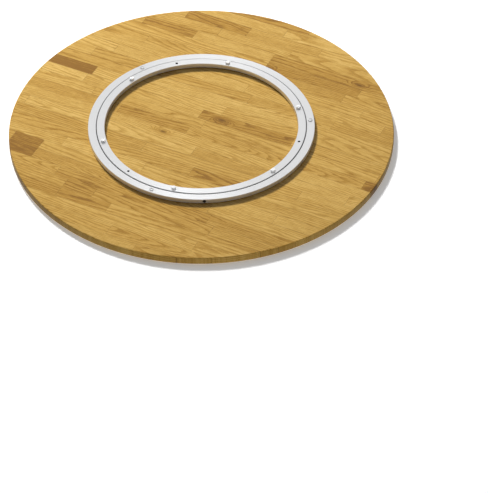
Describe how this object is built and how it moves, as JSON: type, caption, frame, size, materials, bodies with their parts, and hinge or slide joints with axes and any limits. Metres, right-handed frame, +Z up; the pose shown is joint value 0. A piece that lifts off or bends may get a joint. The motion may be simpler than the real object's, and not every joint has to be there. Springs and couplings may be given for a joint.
{
  "type": "lazy susan turntable",
  "caption": "Round solid-oak lazy susan turning on a flat aluminium ring bearing with balls, a cage and push-in feet.",
  "frame": {"origin": "on the turning axis, in the plane that the feet stand on", "axes": "+Z up along the turning axis; X and Y lie in the plane of the feet"},
  "size_m": [0.68, 0.68, 0.0279],
  "materials": {
    "oak": "oiled solid oak staves",
    "aluminium": "fine turned, satin",
    "nylon": "black moulded nylon",
    "zinc": "bright zinc plate",
    "silicone": "milky translucent silicone",
    "steel": "polished bearing steel"
  },
  "bodies": {
    "base": {"inner_ring": "aluminium", "foot_1": "silicone", "foot_2": "silicone", "foot_3": "silicone", "foot_4": "silicone", "foot_5": "silicone", "foot_6": "silicone"},
    "turntable": {"oak_board": "oak", "outer_ring": "aluminium", "loading_plug": "nylon", "board_screw_1": "zinc", "board_screw_2": "zinc", "board_screw_3": "zinc"},
    "ball_set": {"ball_cage": "nylon", "ball_01": "steel", "ball_02": "steel", "ball_03": "steel", "ball_04": "steel", "ball_05": "steel", "ball_06": "steel", "ball_07": "steel", "ball_08": "steel", "ball_09": "steel", "ball_10": "steel", "ball_11": "steel", "ball_12": "steel", "ball_13": "steel", "ball_14": "steel", "ball_15": "steel", "ball_16": "steel", "ball_17": "steel", "ball_18": "steel", "ball_19": "steel", "ball_20": "steel", "ball_21": "steel", "ball_22": "steel", "ball_23": "steel", "ball_24": "steel"}
  },
  "joints": [
    {"name": "board_spin", "type": "hinge", "parent": "base", "child": "turntable", "pos_m": [0, 0, 0.0087], "axis": [0, 0, 1], "continuous": true},
    {"name": "cage_orbit", "type": "hinge", "parent": "base", "child": "ball_set", "pos_m": [0, 0, 0.0087], "axis": [0, 0, 1], "continuous": true}
  ],
  "couplings": [
    {"joint": "cage_orbit", "follows": "board_spin", "ratio": 0.5064}
  ]
}
